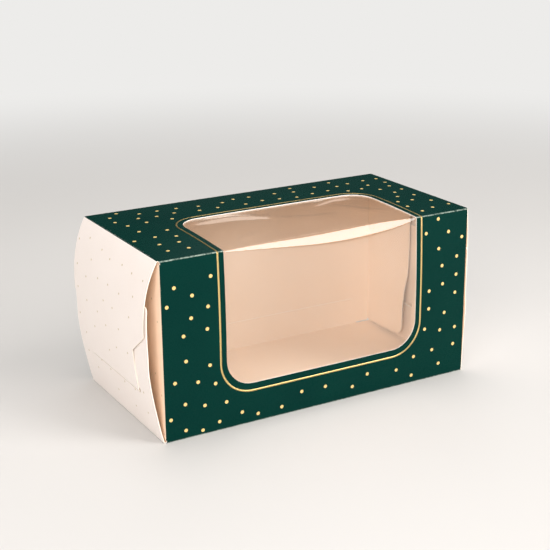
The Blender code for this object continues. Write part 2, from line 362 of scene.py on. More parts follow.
def keepResult(name, carrier):
    # The evaluated object as one plain mesh, with the carrier and its modifiers gone
    bpy.context.view_layer.update()
    evaluated = carrier.evaluated_get(bpy.context.evaluated_depsgraph_get())
    mesh = bpy.data.meshes.new_from_object(evaluated)
    mesh.name = name
    bpy.data.objects.remove(carrier)
    return addObject(name, mesh)


def thicken(name, mesh, thickness, materials, sharpAngle=35):
    # materials: outer face, inner face, cut edge, and the same three again for a printed part
    mesh = mesh.copy()
    for material in materials:
        mesh.materials.append(material)
    carrier = addObject("carrier", mesh)
    solid = carrier.modifiers.new("Thickness", "SOLIDIFY")
    solid.thickness = thickness
    solid.offset = -1
    solid.use_even_offset = True
    solid.use_quality_normals = True
    if len(materials) > 1:
        solid.material_offset = 1
        solid.material_offset_rim = 2
    obj = keepResult(name, carrier)
    obj.data.shade_smooth()
    obj.data.set_sharp_from_angle(angle=radians(sharpAngle))
    return obj


# Node trees: scattered dots, and a band along a line

dotBuild = {
    "mostPerSquareMetre": 60000.0,  # before the spacing thins them out
    "sides": 16,
}


def newTree(name, inputs, result):
    # inputs: pairs of a socket's name and kind
    tree = bpy.data.node_groups.new(name, "GeometryNodeTree")
    for socket, kind in inputs:
        tree.interface.new_socket(socket, in_out="INPUT", socket_type="NodeSocket" + kind)
    tree.interface.new_socket(result, in_out="OUTPUT", socket_type="NodeSocketGeometry")
    return tree, addNode(tree, "NodeGroupInput").outputs


def dotTree():
    # No dot lands near the sheet's edge, nor inside a box with round corners, whose straight
    # parts reach clearStraight to each side of clearMiddle
    tree, given = newTree("scatterDots", [
        ("sheet", "Geometry"), ("spacing", "Float"), ("radius", "Float"), ("thickness", "Float"),
        ("edgeRoom", "Float"), ("clearMiddle", "Vector"), ("clearStraight", "Vector"),
        ("clearCorner", "Float"), ("seed", "Int"), ("finish", "Material")], "dots")
    spots = addNode(tree, "GeometryNodeDistributePointsOnFaces",
            {"Mesh": given["sheet"], "Distance Min": given["spacing"],
             "Density Max": dotBuild["mostPerSquareMetre"], "Seed": given["seed"]},
            distribute_method="POISSON")
    flat = addNode(tree, "GeometryNodeInputNamedAttribute", {"Name": "flat"},
            data_type="FLOAT_VECTOR")
    room = addNode(tree, "GeometryNodeInputNamedAttribute", {"Name": "room"}, data_type="FLOAT")
    past = flat
    for operation, other in (("SUBTRACT", given["clearMiddle"]), ("ABSOLUTE", (0, 0, 0)),
            ("SUBTRACT", given["clearStraight"]), ("MAXIMUM", (0, 0, 0))):
        past = addNode(tree, "ShaderNodeVectorMath", {0: past, 1: other}, operation=operation)
    away = addNode(tree, "ShaderNodeVectorMath", {0: past}, operation="LENGTH")
    inside = addNode(tree, "ShaderNodeMath",
            {0: away.outputs["Value"], 1: given["clearCorner"]}, operation="LESS_THAN")
    atEdge = addNode(tree, "ShaderNodeMath",
            {0: room, 1: given["edgeRoom"]}, operation="LESS_THAN")
    unwanted = addNode(tree, "ShaderNodeMath", {0: inside, 1: atEdge}, operation="MAXIMUM")
    kept = addNode(tree, "GeometryNodeDeleteGeometry", {"Geometry": spots, "Selection": unwanted})
    disc = addNode(tree, "GeometryNodeMeshCylinder",
            {"Vertices": dotBuild["sides"], "Radius": given["radius"],
             "Depth": given["thickness"]})
    dots = addNode(tree, "GeometryNodeInstanceOnPoints", {"Points": kept, "Instance": disc,
            "Rotation": spots.outputs["Rotation"]})
    solid = addNode(tree, "GeometryNodeRealizeInstances", {"Geometry": dots})
    flatShade = addNode(tree, "GeometryNodeSetShadeSmooth",
            {"Geometry": solid, "Shade Smooth": False})
    finished = addNode(tree, "GeometryNodeSetMaterial",
            {"Geometry": flatShade, "Material": given["finish"]})
    addNode(tree, "NodeGroupOutput", {"dots": finished})
    return tree


def bandTree():
    tree, given = newTree("bandOnLine", [("line", "Geometry"), ("width", "Float"),
            ("thickness", "Float"), ("finish", "Material")], "band")
    outward = addNode(tree, "GeometryNodeInputNamedAttribute", {"Name": "outward"},
            data_type="FLOAT_VECTOR")
    line = addNode(tree, "GeometryNodeMeshToCurve", {"Mesh": given["line"]})
    turned = addNode(tree, "GeometryNodeSetCurveNormal",
            {"Curve": line, "Normal": outward}, mode="FREE")
    section = addNode(tree, "GeometryNodeCurvePrimitiveQuadrilateral",
            {"Width": given["thickness"], "Height": given["width"]})
    band = addNode(tree, "GeometryNodeCurveToMesh", {"Curve": turned, "Profile Curve": section,
            "Fill Caps": True})
    solid = addNode(tree, "GeometryNodeRealizeInstances", {"Geometry": band})
    finished = addNode(tree, "GeometryNodeSetMaterial",
            {"Geometry": solid, "Material": given["finish"]})
    addNode(tree, "NodeGroupOutput", {"band": finished})
    return tree


def growFrom(name, mesh, tree, values):
    # values: any that aren't inputs of this tree are left out
    carrier = addObject("carrier", mesh.copy())
    grow = carrier.modifiers.new("Grow", "NODES")
    grow.node_group = tree
    for item in tree.interface.items_tree:
        if item.in_out == "INPUT" and item.name in values:
            grow[item.identifier] = values[item.name]
    return keepResult(name, carrier)


dots, band = dotTree(), bandTree()
print("node trees ready")


# Sleeve: one sheet folded round, from the glue flap to the free back edge

sleeve = {
    "glueFlapHeight": 0.020,
    "glueFlapHalf": 0.1005,
    "glueFlapSlant": 0.004,
    "glueFlapInset": 0.00055,  # its face inside the back panel's
    "panelEnd": 0.1110,  # front and back stop here, where the dust flaps' creases begin
    "windowHalf": 0.070,
    "windowSill": 0.0273,
    "windowReach": 0.066,
    "windowCorner": 0.018,  # its lower corners
    "windowTopCorner": 0.015,
    "cornerSteps": 10,
    "backEdge": 0.0008,  # free lower edge of the back panel
    "columnReach": 0.108,
    "columnStep": 0.0075,
    "rowStep": 0.0075,
    "wearFull": 0.4,  # crease fully pale to this share of its half width
    "wearReach": 0.0007,  # and fading over this much more
}
glueY = halfDepth - sleeve["glueFlapInset"]
sleevePath = makePath([
    (glueY, sleeve["glueFlapHeight"]), (glueY, 0), (-halfDepth, 0), (-halfDepth, height),
    (halfDepth, height), (halfDepth, sleeve["backEdge"]),
], creaseRadius)

# Lengths along the path where each flat panel starts and ends
arcStops = box["creaseSteps"] + 1
panelSpans = {}
for i, panel in enumerate(("glue", "base", "front", "top", "back")):
    panelSpans[panel] = (
        sleevePath["lengths"][i * arcStops], sleevePath["lengths"][i * arcStops + 1]
    )
creaseCentres = [
    (panelSpans[a][1] + panelSpans[b][0]) / 2
    for a, b in (("glue", "base"), ("base", "front"), ("front", "top"), ("top", "back"))
]
creaseHalf = (panelSpans["base"][0] - panelSpans["glue"][1]) / 2


def frontAt(z):
    return panelSpans["front"][0] + z - creaseRadius


def topAt(y):
    return panelSpans["top"][0] + y + halfDepth - creaseRadius


def wrap(x, travelled):
    # From the flat blank to the folded sleeve, with the swell of its panels
    (y, z), (sideY, sideZ) = walk(sleevePath, travelled)
    bow = 0.0
    for panel in ("front", "top", "back"):
        first, last = panelSpans[panel]
        if first <= travelled <= last:
            bow = panelBow(x, (travelled - first) / (last - first))
    if travelled < panelSpans["glue"][1]:
        bow = panelBow(x, z / height)
    return Vector((x, y + sideY * bow, z + sideZ * bow)), Vector((0, sideY, sideZ))


# Share of pale colour at each crease: ink cracked by the fold, and a painted highlight along it
def sleeveWearAndHighlight(x, travelled):
    gap = min(abs(travelled - centre) for centre in creaseCentres)
    return 1.0 - smoothShare((gap - creaseHalf * sleeve["wearFull"]) / sleeve["wearReach"])


def sleeveRoom(x, travelled):
    gap = min(abs(travelled - centre) for centre in creaseCentres)
    ends = sleeve["panelEnd"] - abs(x)
    edges = min(travelled - panelSpans["glue"][1], sleevePath["lengths"][-1] - travelled)
    return min(gap, ends, edges)


def windowCorners():
    # The window's four round corners on the flat blank, counter-clockwise from the lower right
    half = sleeve["windowHalf"]
    low = frontAt(sleeve["windowSill"])
    high = topAt(-halfDepth + sleeve["windowReach"])
    middle = (low + high) / 2
    front, top, steps = sleeve["windowCorner"], sleeve["windowTopCorner"], sleeve["cornerSteps"]
    return [
        arcBetween((0, low), (half, low), (half, middle), front, steps),
        arcBetween((half, middle), (half, high), (0, high), top, steps),
        arcBetween((0, high), (-half, high), (-half, middle), top, steps),
        arcBetween((-half, middle), (-half, low), (0, low), front, steps),
    ]


def sleeveOutlines(panels):
    # The blank of those panels, cut into outlines that go round the window
    half = sleeve["windowHalf"]
    lowRight, highRight, highLeft, lowLeft = windowCorners()
    start, end = panelSpans[panels[0]][0], panelSpans[panels[-1]][1]
    strips = []
    for side, low, high in ((-1, lowLeft[0], highLeft[-1]), (1, lowRight[-1], highRight[0])):
        far = []
        for panel in panels:
            reach = box["sleeveEnd"] if panel in ("base", "top") else sleeve["panelEnd"]
            far += [(side * reach, panelSpans[panel][0]), (side * reach, panelSpans[panel][1])]
        strip = [(side * half, start), (side * sleeve["glueFlapHalf"], start)]
        strip += far + [(side * half, end), high, low]
        strips.append(strip)
    lower = [(-half, start), (half, start)] + lowRight[::-1] + lowLeft[::-1]
    upper = [(half, end), (-half, end)] + highLeft[::-1] + highRight[::-1]
    return strips + [lower, upper]


def glueOutline():
    half, wide = sleeve["windowHalf"], sleeve["glueFlapHalf"]
    start, tip = panelSpans["base"][0], wide - sleeve["glueFlapSlant"]
    return [(-tip, 0.0), (tip, 0.0), (wide, start), (half, start), (-half, start), (-wide, start)]


def sleeveRows():
    rows = sleevePath["lengths"][1:-1]
    for centre in creaseCentres:
        for off in (-1, 1):
            rows.append(centre + off * (creaseHalf + sleeve["wearReach"]))
    for first, last in panelSpans.values():
        rows += evenStops(first, last, sleeve["rowStep"])[1:-1]
    return rows


sleeveColumns = evenStops(-sleeve["columnReach"], sleeve["columnReach"], sleeve["columnStep"])
sleeveMesh = bendSheet("sleeveSkin",
        sleeveOutlines(("base", "front", "top", "back")) + [glueOutline()],
        sleeveColumns, sleeveRows(), wrap, {"wear": sleeveWearAndHighlight})
# its cut edges take the whiter copy of the cut edge, painted light
sleeveBoard = thicken("sleeve_board", sleeveMesh, card, [greenPrint, creamInside, brightenedCutEdge])
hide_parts("base_panel", "back_panel", "front_panel", "top_panel", "glue_flap")
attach(sleeveBoard, "sleeve")
print("sleeve folded:", len(sleeveBoard.data.polygons), "faces")


# Gold border and gold dots on the print

border = {
    "gapBeside": 0.0040,  # window's edge to the middle of the line, at its sides
    "gapBelow": 0.0051,  # under it
    "gapAbove": 0.0044,  # and behind it, on the top
    "width": 0.0012,
    "thickness": 0.00006,
    "straightStep": 0.006,
    "cornerSteps": 14,
}
goldDots = {
    "spacing": 0.0116,
    "radius": 0.00118,
    "thickness": 0.00008,
    "edgeRoom": 0.0022,  # an edge or crease to the nearest dot's middle
    "borderRoom": 0.0034,  # middle of the gold line to the nearest dot's middle
    "seed": 8,
}


def borderLine():
    # Right round the window, from its foot up one side and over the crease, and back down the other
    half = sleeve["windowHalf"] + border["gapBeside"]
    low = frontAt(sleeve["windowSill"]) - border["gapBelow"]
    high = topAt(-halfDepth + sleeve["windowReach"]) + border["gapAbove"]
    corner = sleeve["windowCorner"] + border["gapBeside"]
    topCorner = sleeve["windowTopCorner"] + border["gapBeside"]
    overCrease = [v for v in sleevePath["lengths"]
            if panelSpans["front"][1] <= v <= panelSpans["top"][0]]
    step, bend = border["straightStep"], border["cornerSteps"]
    rise = evenStops(low + corner, overCrease[0], step)[1:-1] + overCrease
    rise += evenStops(overCrease[-1], high - topCorner, step)[1:-1]
    right = arcBetween((0, low), (half, low), (half, low + 2 * corner), corner, bend)
    right += [(half, v) for v in rise]
    right += arcBetween((half, high - 2 * topCorner), (half, high), (0, high), topCorner, bend)
    line = [(u, low) for u in evenStops(-half + corner, half - corner, step)[1:-1]] + right
    line += [(-u, high) for u in evenStops(-half + topCorner, half - topCorner, step)[1:-1]]
    line += [(-u, v) for u, v in reversed(right)]
    mesh = bpy.data.meshes.new("borderLine")
    placed = [wrap(u, v) for u, v in line]
    closed = [(i, (i + 1) % len(line)) for i in range(len(line))]
    mesh.from_pydata([point for point, normal in placed], closed, [])
    outward = mesh.attributes.new("outward", "FLOAT_VECTOR", "POINT")
    for i, (point, normal) in enumerate(placed):
        outward.data[i].vector = normal
    return mesh


borderBand = growFrom("gold_border", borderLine(), band, {**border, "finish": gold})
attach(borderBand, "sleeve")

clearLow = frontAt(sleeve["windowSill"]) - border["gapBelow"] - goldDots["borderRoom"]
clearHigh = topAt(-halfDepth + sleeve["windowReach"]) + border["gapAbove"] + goldDots["borderRoom"]
clearCorner = sleeve["windowCorner"] + border["gapBeside"] + goldDots["borderRoom"]
# the underside is left plain, and so is the glue flap
dottedMesh = bendSheet("dottedSkin", sleeveOutlines(("front", "top", "back")),
        sleeveColumns, sleeveRows(), wrap, {"room": sleeveRoom})
goldScatter = growFrom("gold_dots", dottedMesh, dots, {
    **goldDots, "finish": dotInk, "clearCorner": clearCorner,
    "clearMiddle": (0.0, (clearLow + clearHigh) / 2, 0.0),
    "clearStraight": (sleeve["windowHalf"] - sleeve["windowCorner"],
                      (clearHigh - clearLow) / 2 - clearCorner, 0.0),
})
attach(goldScatter, "sleeve")
print("gold print done:", len(goldScatter.data.polygons), "faces of dots")


# Film: glued inside the window, softly bent over the edge, buckled on top

film = {
    "half": 0.080,
    "foot": 0.0173,
    "backReach": 0.076,  # from the front face to its back edge
    "thickness": 0.0002,
    "inset": 0.00055,  # its face inside the board's outer face
    # it leans back slowly below the crease, then turns sharply over it
    "leanAngle": 36.0,
    "leanBend": 0.0120,  # bend radii in the middle of the window
    "leanSkew": 0.55,  # the slow bend is this share wider at the right, tighter at the left
    "turnBend": 0.0022,
    "tightBend": 0.0005,  # and where it is glued beside the window
    "columns": 72, "frontRows": 24, "bendRows": 24, "topRows": 46,
    "glueHold": 0.8,  # the lower, the sooner it comes loose from its glued sides
    "fade": 0.006,  # the buckles die out this near the window's edge
    "fadeFrom": 0.006, "fadeOver": 0.02,  # and set in this far behind the front, over this
    # buckles of the loose film on top: height, half width towards the front and towards
    # the back, and the line that each follows from left to right
    "buckles": [
        (0.0011, 0.0032, 0.0050, [(-0.068, 0.0005), (-0.0517, -0.0012), (-0.0334, -0.0020),
                                  (-0.0188, -0.0085), (-0.0060, -0.0165)]),
        (0.0007, 0.0160, 0.0024, [(-0.0140, -0.0130), (-0.0010, -0.0200), (0.0127, -0.0240),
                                  (0.0300, -0.0260)]),
        (0.0010, 0.0032, 0.0050, [(0.0160, -0.0060), (0.0300, -0.0020), (0.0440, 0.0030),
                                  (0.0560, 0.0020), (0.0660, -0.0060)]),
        (0.0007, 0.0120, 0.0024, [(0.0320, -0.0060), (0.0420, -0.0150), (0.0500, -0.0270),
                                  (0.0600, -0.0340), (0.0700, -0.0380)]),
        (0.0004, 0.0120, 0.0024, [(-0.064, -0.0500), (-0.0480, -0.0420), (-0.0320, -0.0340)]),
    ],
    "frontWave": 0.0004,  # faint waves down the front: how deep
    "waveAcross": 60, "waveUp": 45,  # their radians per metre
    "waveFrom": 0.03, "waveOver": 0.03,  # and the height where they set in, over this
}


def nearestOnLine(point, line):
    # How far off the line, how far along it as a share of its length, and on its left or not
    best, found, onLeft, travelled = inf, 0.0, False, 0.0
    for a, b in zip(line, line[1:]):
        a, b = Vector(a), Vector(b)
        share = clampShare((point - a).dot(b - a) / (b - a).length_squared)
        off = (point - a.lerp(b, share)).length
        if off < best:
            best, found = off, travelled + share * (b - a).length
            onLeft = (b - a).cross(point - a) > 0
        travelled += (b - a).length
    return best, found / travelled, onLeft


def filmBuckle(x, y):
    inside = min(sleeve["windowHalf"] - abs(x), -halfDepth + sleeve["windowReach"] - y)
    fade = smoothShare(inside / film["fade"])
    fade *= smoothShare((y + halfDepth - film["fadeFrom"]) / film["fadeOver"])
    total = 0.0
    for tall, nearWide, farWide, line in film["buckles"]:
        off, share, far = nearestOnLine(Vector((x, y)), line)
        wide = farWide if far else nearWide
        total += tall * sin(pi * share) * exp(-(off / wide) ** 2)
    return fade * total


def filmWave(x, z, across):
    turn = x * film["waveAcross"] + z * film["waveUp"]
    return sin(turn) * film["frontWave"] * across


def filmPoint(x, row):
    inset = film["inset"]
    across = clampShare(1 - (abs(x) / sleeve["windowHalf"]) ** 2) ** film["glueHold"]
    slow = film["leanBend"] * (1 + film["leanSkew"] * x / sleeve["windowHalf"])
    leanRadius = film["tightBend"] + (slow - film["tightBend"]) * across
    turnRadius = film["tightBend"] + (film["turnBend"] - film["tightBend"]) * across
    lean = radians(film["leanAngle"])
    leanY, leanZ = leanRadius * (1 - cos(lean)), leanRadius * sin(lean)
    faceY, faceZ = -halfDepth + inset, height - inset
    bendZ = faceZ - leanZ - turnRadius * (1 - sin(lean))
    bendY = faceY + leanY + turnRadius * cos(lean)
    frontRows, bendRows = film["frontRows"], film["bendRows"]
    if row <= frontRows:
        angle = 0.0
        y, z = faceY, film["foot"] + (bendZ - film["foot"]) * row / frontRows
        y += filmWave(x, z, across) * smoothShare((z - film["waveFrom"]) / film["waveOver"])
    elif row <= frontRows + bendRows:
        angle = pi / 2 * (row - frontRows) / bendRows
        leant = min(angle, lean)
        y = faceY + leanRadius * (1 - cos(leant))
        z = bendZ + leanRadius * sin(leant)
        if angle > lean:
            y += turnRadius * (cos(lean) - cos(angle))
            z += turnRadius * (sin(angle) - sin(lean))
        y += filmWave(x, z, across) * cos(angle) ** 2
    else:
        angle = pi / 2
        share = (row - frontRows - bendRows) / film["topRows"]
        y, z = bendY + (-halfDepth + film["backReach"] - bendY) * share, faceZ
        z += filmBuckle(x, y)
    y -= cos(angle) * panelBow(x, clampShare((z - creaseRadius) / (height - 2 * creaseRadius)))
    z += sin(angle) * panelBow(x, clampShare((y + halfDepth) / (2 * halfDepth)))
    return Vector((x, y, z))


def filmMesh():
    columns = evenStops(-film["half"], film["half"], 2 * film["half"] / film["columns"])
    rowCount = film["frontRows"] + film["bendRows"] + film["topRows"] + 1
    points = [filmPoint(x, row) for row in range(rowCount) for x in columns]
    wide = len(columns)
    faces = []
    for row in range(rowCount - 1):
        for i in range(wide - 1):
            a = row * wide + i
            faces.append((a, a + 1, a + wide + 1, a + wide))
    mesh = bpy.data.meshes.new("filmSkin")
    mesh.from_pydata(points, [], faces)
    return mesh


windowSheet = thicken("window_film_sheet", filmMesh(), film["thickness"], [clearPet], sharpAngle=60)
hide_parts("window_film")
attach(windowSheet, "sleeve")
print("film laid:", len(windowSheet.data.polygons), "faces")


# End flaps, each one sheet with its own crease

flaps = {
    "bellyHeight": 0.069,  # where the ends swell most
    "upperFullness": 2.6,
    "lowerFullness": 2.0,
    "coverHalfAtCrease": 0.056,
    "coverHalfAtShoulder": 0.0545,
    "shoulderHeight": 0.069,
    "tongueHeight": 0.056,
    "tongueHalf": 0.037,
    "foldHeight": 0.029,
    "foldStart": 0.0302,  # the tongue's sheet ends here and the tab's begins
    "tabLength": 0.0045,
    "tabTaper": 0.004,
    "tabCorner": 0.0015,
    "cornerSoftness": 0.0015,  # die-cut corners of the cover flap
    "cornerSteps": 5,
    "lowerHeight": 0.088,
    "lowerHalf": 0.0565,
    "lowerCorner": 0.003,
    "nestGap": 0.0013,  # the lower flap lies this far inside the cover flap
    "pressGap": 0.0006,  # and this far behind the tongue, between these heights
    "pressFrom": 0.016, "pressTo": 0.046, "pressFade": 0.012,
    "slitHalf": 0.0382,
    "slitLow": 0.0275,
    "slitHigh": 0.0305,
    "slitRoom": 0.0012,  # no other row of points this near it
    "creaseShare": 0.9,  # radius of a flap's crease, against the sleeve's creases
    "foldShare": 0.8,  # and of the tab's fold
    "curveFrom": 0.0012,  # the swell is drawn from this far past the crease
    "curveStep": 0.004,
    "columnStep": 0.014,
    "printShare": 0.62,  # the print runs this far into each crease
    "wearFrom": 0.2, "wearOver": 0.5,  # whole up to this share of it, then turning pale over this: cracked ink and a painted highlight of the fold
    "blendTo": 0.0016,  # a flap turns fully from this far past its crease
    "tabBlendFrom": 0.0006,
    "dustBlendTo": 0.0015,
    "dustHingeX": 0.1112,
    "dustHingeY": 0.05645,
    "dustFreeGap": 0.011,
    "dustLow": 0.002,
    "dustHigh": 0.113,
    "dustTaper": 0.004,
    "dustCorner": 0.008,
    "dustCornerSteps": 6,
    "dustStep": 0.012,
    "dustEase": 0.05,  # radians that they stand in by themselves
    "dustFreed": 0.030,  # above the tab, the height over which they stand straight
    "dustCrease": 0.00045,  # radius of their creases
    "tabClearance": 0.0004,
}
faintDots = {
    "spacing": 0.0138,
    "radius": 0.0007,
    "thickness": 0.00005,
    "edgeRoom": 0.0022,
    "creaseRoom": 0.004,
}


def bulge(z, most):
    belly = flaps["bellyHeight"]
    if z > belly:
        return most * (1 - ((z - belly) / (height - belly)) ** flaps["upperFullness"])
    return most * (1 - ((belly - z) / belly) ** flaps["lowerFullness"])


def flapSheet(name, outlines, across, along, place, edge, creaseStop):
    # edge is the flap's whole outline: the dots keep off it and off the crease
    loop = edge + [edge[0]]

    def room(u, v):
        offCrease = v - creaseStop - faintDots["creaseRoom"] + faintDots["edgeRoom"]
        return min(nearestOnLine(Vector((u, v)), loop)[0], offCrease)

    # pale towards the crease: ink cracked by the fold, and a painted highlight along it
    def wear(u, v):
        return smoothShare((v - creaseStop * flaps["wearFrom"]) / (creaseStop * flaps["wearOver"]))

    return bendSheet(name, outlines, across, along, place, {"room": room, "wear": wear},
            creaseStop * flaps["printShare"])


def mirrored(half):
    return half + [(-u, v) for u, v in reversed(half)]


def finishFlap(name, mesh, node, face=creamCoat):
    flap = thicken(name, mesh, card,
            [face, creamInside, cutEdge, greenPrint, creamInside, cutEdge])
    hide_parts(node)
    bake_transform(flap)


def scatterFaint(name, mesh, body, seed):
    # There is no window here, so no box is kept clear
    spots = growFrom(name, mesh, dots, {**faintDots, "seed": seed, "finish": paleInk})
    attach(spots, body)


def endPlace(path, side, handed):
    # u runs across the box, v along the path. handed is 1 where the path's left side is outside.
    def place(u, v):
        point, facing = walk(path, v)
        return (Vector((side * point.x, u, point.y)),
                Vector((side * facing.x * handed, 0, facing.y * handed)))
    return place


def buildCover(name, side, most, seed):
    levels = evenStops(flaps["foldStart"], height - flaps["curveFrom"], flaps["curveStep"])[::-1]
    curve = [(halfLength + bulge(z, most), z) for z in levels]
    path = makePath([(box["sleeveEnd"], height), (halfLength, height)] + curve,
            creaseRadius * flaps["creaseShare"])
    creaseStop = path["lengths"][arcStops]
    shoulder = travelToHeight(path, flaps["shoulderHeight"], creaseStop)
    tongue = travelToHeight(path, flaps["tongueHeight"], creaseStop)
    end = path["lengths"][-1]
    crease, wide, slim = (flaps["coverHalfAtCrease"], flaps["coverHalfAtShoulder"],
            flaps["tongueHalf"])
    soft, steps = flaps["cornerSoftness"], flaps["cornerSteps"]
    half = [(crease, 0.0), (crease, creaseStop)]
    half += arcBetween((crease, creaseStop), (wide, shoulder), (slim, tongue), soft, steps)
    half += arcBetween((wide, shoulder), (slim, tongue), (slim, end), soft, steps)
    half += [(slim, end)]
    outline = mirrored(half)
    mesh = flapSheet(name, [outline], evenStops(-crease, crease, flaps["columnStep"])[1:-1],
            path["lengths"][1:-1], endPlace(path, side, 1), outline, creaseStop)
    finishFlap(name + "_cover_board", mesh,
            name + "_cover_flap")
    scatterFaint(name + "_cover_dots", mesh, name + "_cover", seed)


def buildTab(name, side, most):
    bottom = flaps["foldHeight"] - card
    foldX = halfLength + bulge(flaps["foldHeight"], most)
    tip = foldX - flaps["tabLength"]
    startX = halfLength + bulge(flaps["foldStart"], most)
    path = makePath([(startX, flaps["foldStart"]), (foldX, bottom), (tip, bottom)],
            creaseRadius * flaps["foldShare"])
    end = path["lengths"][-1]
    fold = path["lengths"][arcStops]
    root, slim = flaps["tongueHalf"], flaps["tongueHalf"] - flaps["tabTaper"]
    half = [(root, 0.0), (root, fold)]
    half += arcBetween((root, fold), (slim, end), (0, end), flaps["tabCorner"],
            flaps["cornerSteps"])
    mesh = bendSheet(name, [mirrored(half)], [], path["lengths"][1:-1],
            endPlace(path, side, 1), {})
    finishFlap(name + "_tuck_tab_board", mesh,
            name + "_tuck_tab")


def buildLower(name, side, most, seed):
    inner = most - flaps["nestGap"]
    levels = evenStops(flaps["curveFrom"], flaps["lowerHeight"], flaps["curveStep"])
    curve = []
    for z in levels:
        # pressed close behind the tongue, and looser above it
        pressed = smoothShare((z - flaps["pressFrom"]) / flaps["pressFade"])
        pressed *= 1 - smoothShare((z - flaps["pressTo"]) / flaps["pressFade"])
        close = bulge(z, most) - flaps["pressGap"]
        loose = bulge(z, inner)
        curve.append((halfLength + loose + (close - loose) * pressed, z))
    path = makePath([(box["sleeveEnd"], 0.0), (halfLength, 0.0)] + curve,
            creaseRadius * flaps["creaseShare"])
    creaseStop = path["lengths"][arcStops]
    end = path["lengths"][-1]
    slitLow = travelToHeight(path, flaps["slitLow"], creaseStop)
    slitHigh = travelToHeight(path, flaps["slitHigh"], creaseStop)
    half, slit = flaps["lowerHalf"], flaps["slitHalf"]
    below = [(-half, 0.0), (half, 0.0), (half, slitLow), (slit, slitLow), (-slit, slitLow),
            (-half, slitLow)]
    beside = [[(s * slit, slitLow), (s * half, slitLow), (s * half, slitHigh), (s * slit, slitHigh)]
            for s in (-1, 1)]
    topHalf = arcBetween((half, slitHigh), (half, end), (0, end), flaps["lowerCorner"],
            flaps["cornerSteps"])
    above = [(-slit, slitHigh), (slit, slitHigh), (half, slitHigh)]
    above += mirrored(topHalf) + [(-half, slitHigh)]
    outline = [(-half, 0.0), (half, 0.0), (half, end), (-half, end)]
    near, far = slitLow - flaps["slitRoom"], slitHigh + flaps["slitRoom"]
    rows = [v for v in path["lengths"][1:-1] if not near < v < far]
    mesh = flapSheet(name, [below, above] + beside, evenStops(-half, half, flaps["columnStep"])[1:-1],
            rows, endPlace(path, side, -1), outline, creaseStop)
    finishFlap(name + "_lower_board", mesh,
            name + "_lower_flap")
    scatterFaint(name + "_lower_dots", mesh, name + "_lower", seed)


def buildDust(name, wallName, side, wall, most, seed):
    tabTip = halfLength + bulge(flaps["foldHeight"], most) - flaps["tabLength"]
    pushed = flaps["dustHingeX"] - tabTip + card / 2 + flaps["tabClearance"]
    tipSide = flaps["tongueHalf"] - flaps["tabTaper"]
    turn = max(flaps["dustEase"], atan2(pushed, flaps["dustHingeY"] - tipSide))
    along = Vector((-sin(turn), -cos(turn)))
    face = Vector((flaps["dustHingeX"] + cos(turn) * card / 2,
            flaps["dustHingeY"] - sin(turn) * card / 2))
    corner = face - along * (halfDepth - face.y) / cos(turn)
    free = face + along * (flaps["dustHingeY"] - flaps["dustFreeGap"] / 2)
    path = makePath([(sleeve["panelEnd"], halfDepth), corner, free], flaps["dustCrease"])
    creaseStop = path["lengths"][arcStops]
    end = path["lengths"][-1]
    low, high, taper = flaps["dustLow"], flaps["dustHigh"], flaps["dustTaper"]

    def place(u, v):
        point, facing = walk(path, v)
        share = clampShare((u - creaseRadius) / (height - 2 * creaseRadius))
        bow = panelBow(point.x, share) * (1 - smoothShare(v / creaseStop))
        # pushed in at the tab's height, and standing straight again above it
        freed = smoothShare((u - flaps["foldHeight"]) / flaps["dustFreed"])
        point.x += turn * freed * max(0.0, v - creaseStop)
        return (Vector((side * point.x, wall * (point.y + bow), u)),
                Vector((side * facing.x, wall * facing.y, 0)))

    soft, steps = flaps["dustCorner"], flaps["dustCornerSteps"]
    outline = [(low, 0.0), (low, creaseStop)]
    outline += arcBetween((low, creaseStop), (low + taper, end), (high - taper, end), soft, steps)
    outline += arcBetween((low + taper, end), (high - taper, end), (high, creaseStop), soft, steps)
    outline += [(high, creaseStop), (high, 0.0)]
    rows = path["lengths"][1:-1] + evenStops(creaseStop, end, flaps["dustStep"])[1:-1]
    mesh = flapSheet(name, [outline], evenStops(low, high, flaps["dustStep"])[1:-1], rows, place,
            outline, creaseStop)
    body = f"{name}_{wallName}_dust"
    # their face is the cream coat with painted warm shade
    finishFlap(body + "_board", mesh,
            body + "_flap", creamPaintedShade)
    scatterFaint(body + "_dots", mesh, body, seed)


for sideName, side, seed in (("left", -1, 20), ("right", 1, 40)):
    coverLow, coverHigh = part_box(sideName + "_cover_flap")
    most = max(abs(coverLow.x), abs(coverHigh.x)) - halfLength
    buildCover(sideName, side, most, seed)
    buildTab(sideName, side, most)
    buildLower(sideName, side, most, seed + 1)
    buildDust(sideName, "front", side, -1, most, seed + 2)
    buildDust(sideName, "back", side, 1, most, seed + 3)
    print(sideName, "end folded, swelling", round(most * 1000, 1), "mm")


# Floor, lamps, camera

studio = {
    "floorColor": "#D6D5D3",
    "floorCloud": "#D3D2D0",  # clouds about a third of a metre wide
    "backdropColor": "#EDECEA",  # far floor, as the camera sees it
    "backdropFrom": 0.45, "backdropFull": 1.2,
    "floorHalf": 8.0,
    "worldColor": "#F1F0EE",
    "worldLight": 0.55,
    "backdropLight": 0.9,  # behind and around, as the camera sees it
    "horizon": 0.12,  # what gloss mirrors there instead, low down
    "ceiling": 0.06,  # and overhead
    "roomLow": 0.02, "roomHigh": 0.20,  # from here to here up the sky, 1 being straight up
    # name: place, width and height, watts, colour
    "lamps": {
        "overFront": ((0.63, -0.91, 0.85), (0.6, 1.3), 11.5, "#FFFAF7"),
        "leftFront": ((-0.92, -1.02, 0.70), (1.0, 1.0), 15.3, "#FFFAF7"),
        "lowRight": ((1.10, -0.91, 0.16), (0.5, 0.25), 4.0, "#FFFAF7"),
        "overTop": ((0.10, 0.10, 1.30), (0.8, 0.8), 5.5, "#FFFAF7"),
        "backTop": ((0.60, 0.95, 0.95), (0.5, 0.5), 1.0, "#FFFFFF"),
    },
    "lookAt": (0, 0, 0.055),
}
